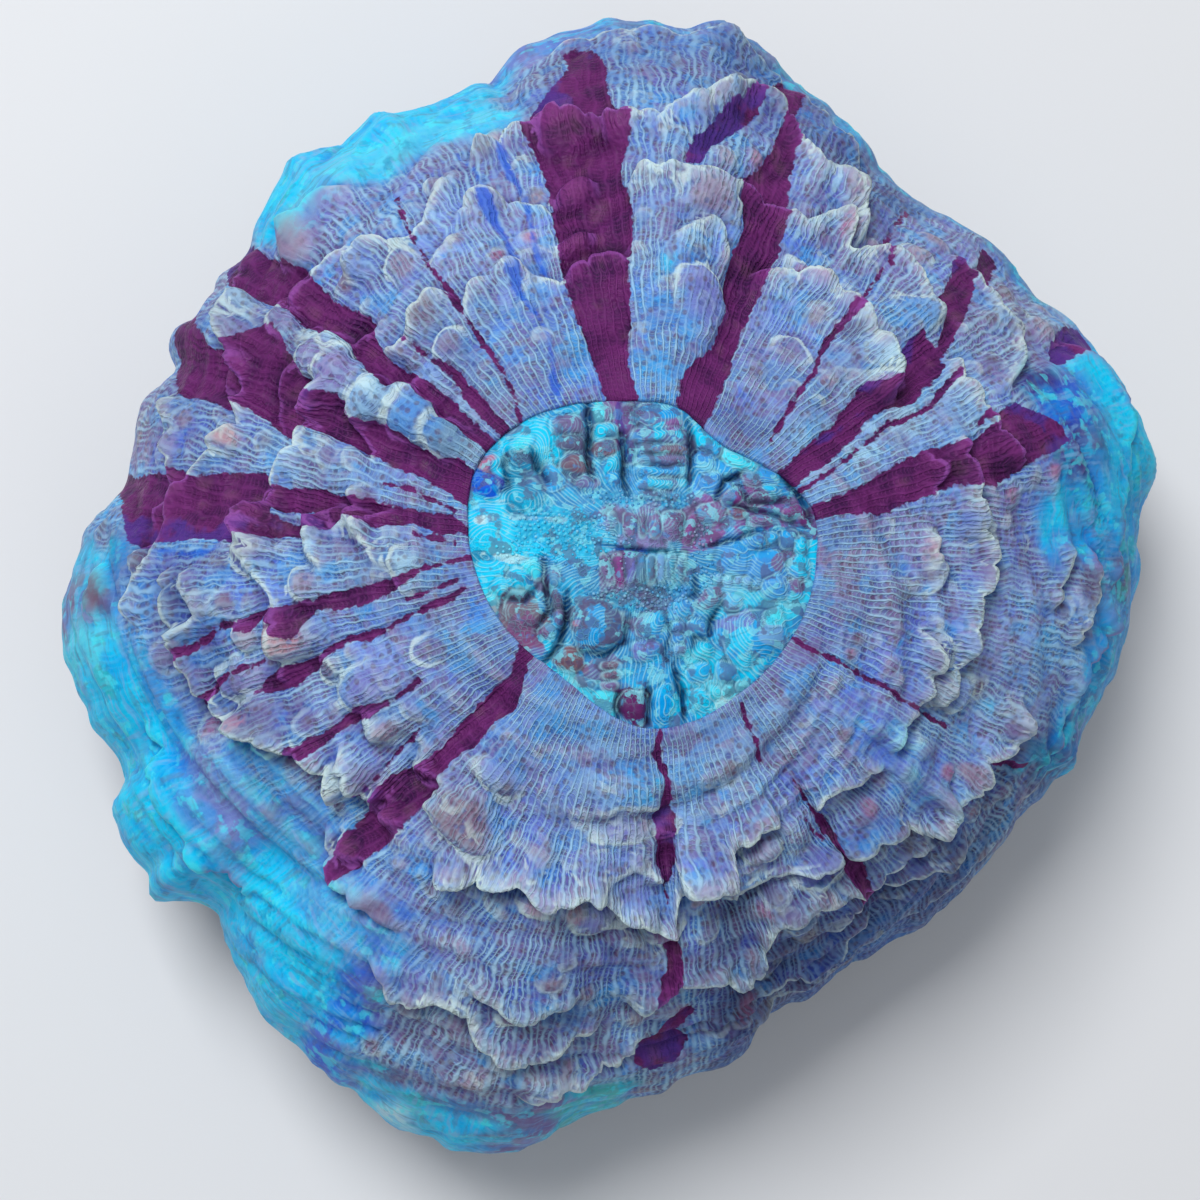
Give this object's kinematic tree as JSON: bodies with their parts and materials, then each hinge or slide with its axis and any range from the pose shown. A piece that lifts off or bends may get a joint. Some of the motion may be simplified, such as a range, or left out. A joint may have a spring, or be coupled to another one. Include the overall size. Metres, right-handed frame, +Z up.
{
  "type": "acanthophyllia coral",
  "caption": "Single large fleshy coral polyp: a terraced, lobed mantle round a sunken oral disc, on a short stony foot that is cut off flat.",
  "frame": {"origin": "middle of the outline seen from above, at the height of the flat cut that the coral rests on", "axes": "+Z up along the polyp's axis, out of the mouth; +Y along the longer way across the mantle; +X along the shorter way, parallel to the mouth"},
  "size_m": [0.0886, 0.0926, 0.0383],
  "materials": {
    "flesh": "wet satin flesh, lavender-blue with maroon bands and a cyan hem",
    "skeleton": "dry, off-white, ribbed"
  },
  "bodies": {
    "root": {"coral_polyp": "flesh"}
  },
  "joints": []
}
